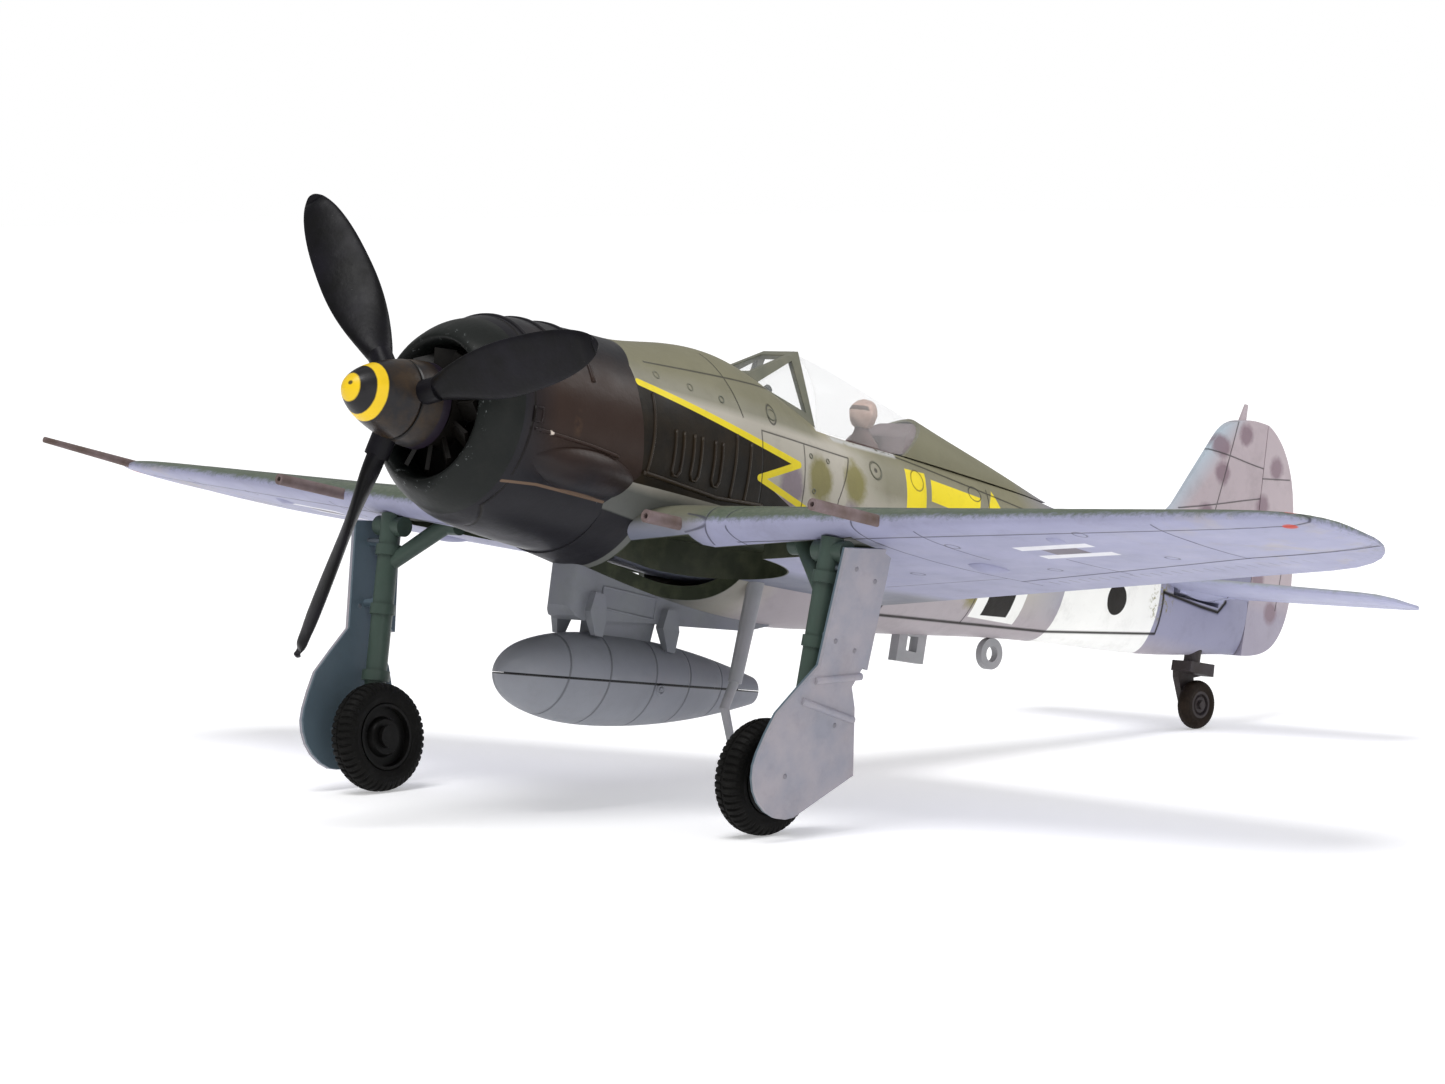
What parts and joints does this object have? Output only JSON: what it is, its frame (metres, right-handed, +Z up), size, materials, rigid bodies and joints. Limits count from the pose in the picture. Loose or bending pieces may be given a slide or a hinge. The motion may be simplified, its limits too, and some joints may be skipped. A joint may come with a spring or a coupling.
{
  "type": "scale model propeller fighter plane",
  "caption": "Desk-size scale model of a single-engined propeller fighter standing on its wheels, with spinning propeller, rolling wheels, swivelling tail wheel, sliding canopy and belly tank.",
  "frame": {"origin": "on the ground under the middle of the model's bounding box", "axes": "+X is the port wing, +Y points to the tail along the ground, so the nose faces -Y, and +Z is up; the model sits tail-down on its three wheels"},
  "size_m": [0.1456, 0.1214, 0.0525],
  "materials": {
    "fuselage_paint": "satin olive green over grey-green paint, soft mottle and light chipping",
    "belly_paint": "satin light blue-grey paint",
    "tail_paint": "satin pale grey paint with sparse mauve mottle",
    "wing_paint": "satin green speckled upper side over light blue-grey underside",
    "cowl_paint": "semi-gloss blue-black paint, brown where it is worn",
    "nose_paint": "dark greenish charcoal paint with chipped edges",
    "dark_metal": "dark grey painted metal",
    "spinner_paint": "satin black with yellow bands",
    "blade_paint": "satin black, rubbed light along the edges",
    "screw_steel": "dull steel",
    "gun_metal": "rough brownish mauve",
    "cockpit_paint": "dark grey paint",
    "seat_cloth": "mauve-grey paint",
    "pilot_cloth": "brown painted plastic",
    "pilot_face": "tan painted plastic",
    "frame_paint": "satin olive paint",
    "clear_plastic": "clear polished plastic",
    "gear_green": "dark green paint, chipped",
    "door_paint": "satin warm light grey paint",
    "wheel_hub_paint": "satin black paint",
    "tyre": "matt black with block tread",
    "tail_fork_paint": "satin grey-brown paint",
    "tail_tyre": "matt dark brown",
    "rack_paint": "satin mid grey paint",
    "tank_paint": "satin light blue-grey paint"
  },
  "bodies": {
    "airframe": {"fuselage_casting": "fuselage_paint", "belly_insert": "belly_paint", "centre_section_pan": "belly_paint", "rudder": "tail_paint", "wing_underside_port": "wing_paint", "wing_underside_starboard": "wing_paint", "wing_casting": "wing_paint", "tailplane_port": "wing_paint", "tailplane_starboard": "wing_paint", "aerial_mast": "tail_paint", "cowling_upper": "cowl_paint", "cowling_lower": "cowl_paint", "nose_ring": "nose_paint", "engine_bulkhead": "dark_metal", "root_gun_barrels": "gun_metal", "outer_gun_barrels": "gun_metal", "pitot_tube": "gun_metal", "cockpit_tub": "cockpit_paint", "instrument_panel": "cockpit_paint", "seat": "seat_cloth", "control_stick": "cockpit_paint", "pilot_body": "pilot_cloth", "pilot_head": "pilot_face", "windscreen_frame": "frame_paint", "windscreen_glass": "clear_plastic", "gunsight": "cockpit_paint", "gear_leg_port": "gear_green", "gear_leg_starboard": "gear_green", "retraction_strut_port": "gear_green", "retraction_strut_starboard": "gear_green", "leg_door_port": "door_paint", "leg_door_starboard": "door_paint", "wheel_door_port": "door_paint", "wheel_door_starboard": "door_paint", "wheel_retainers": "wheel_hub_paint", "rack_body": "rack_paint", "tank_upper_half": "tank_paint", "tank_lower_half": "tank_paint", "tank_saddle": "rack_paint", "sway_braces": "rack_paint", "boarding_step": "rack_paint", "loop_aerial": "rack_paint", "ring_aerial": "rack_paint", "assembly_screws": "screw_steel"},
    "propeller_group": {"propeller": "blade_paint", "spinner": "spinner_paint", "cooling_fan": "dark_metal", "propeller_shaft": "screw_steel"},
    "wheel_port": {"wheel_hub_port": "wheel_hub_paint", "tyre_port": "tyre"},
    "wheel_starboard": {"wheel_hub_starboard": "wheel_hub_paint", "tyre_starboard": "tyre"},
    "tail_fork": {"tail_wheel_fork": "tail_fork_paint"},
    "tail_wheel": {"tail_wheel_hub": "tail_fork_paint", "tail_wheel_tyre": "tail_tyre"},
    "canopy": {"canopy_hood": "clear_plastic", "canopy_fairing": "fuselage_paint", "head_armour": "seat_cloth"}
  },
  "joints": [
    {"name": "propeller_spin", "type": "hinge", "parent": "airframe", "child": "propeller_group", "pos_m": [0, -0.05494, 0.03562], "axis": [0, 0.9724, -0.2335], "continuous": true},
    {"name": "wheel_port_roll", "type": "hinge", "parent": "airframe", "child": "wheel_port", "pos_m": [0.0239, -0.03729, 0.0048], "axis": [0.9962, -0.0203, -0.0847], "continuous": true},
    {"name": "wheel_starboard_roll", "type": "hinge", "parent": "airframe", "child": "wheel_starboard", "pos_m": [-0.0239, -0.03729, 0.0048], "axis": [0.9962, 0.0203, 0.0847], "continuous": true},
    {"name": "tail_fork_swivel", "type": "hinge", "parent": "airframe", "child": "tail_fork", "pos_m": [0, 0.04536, 0.00619], "axis": [0, 0.2335, 0.9724], "range_deg": [-60, 60]},
    {"name": "tail_wheel_roll", "type": "hinge", "parent": "tail_fork", "child": "tail_wheel", "pos_m": [0, 0.04606, 0.00235], "axis": [1, 0, 0], "continuous": true},
    {"name": "canopy_slide", "type": "slide", "parent": "airframe", "child": "canopy", "axis": [0, 0.9724, -0.2335], "range_m": [0, 0.008]}
  ]
}
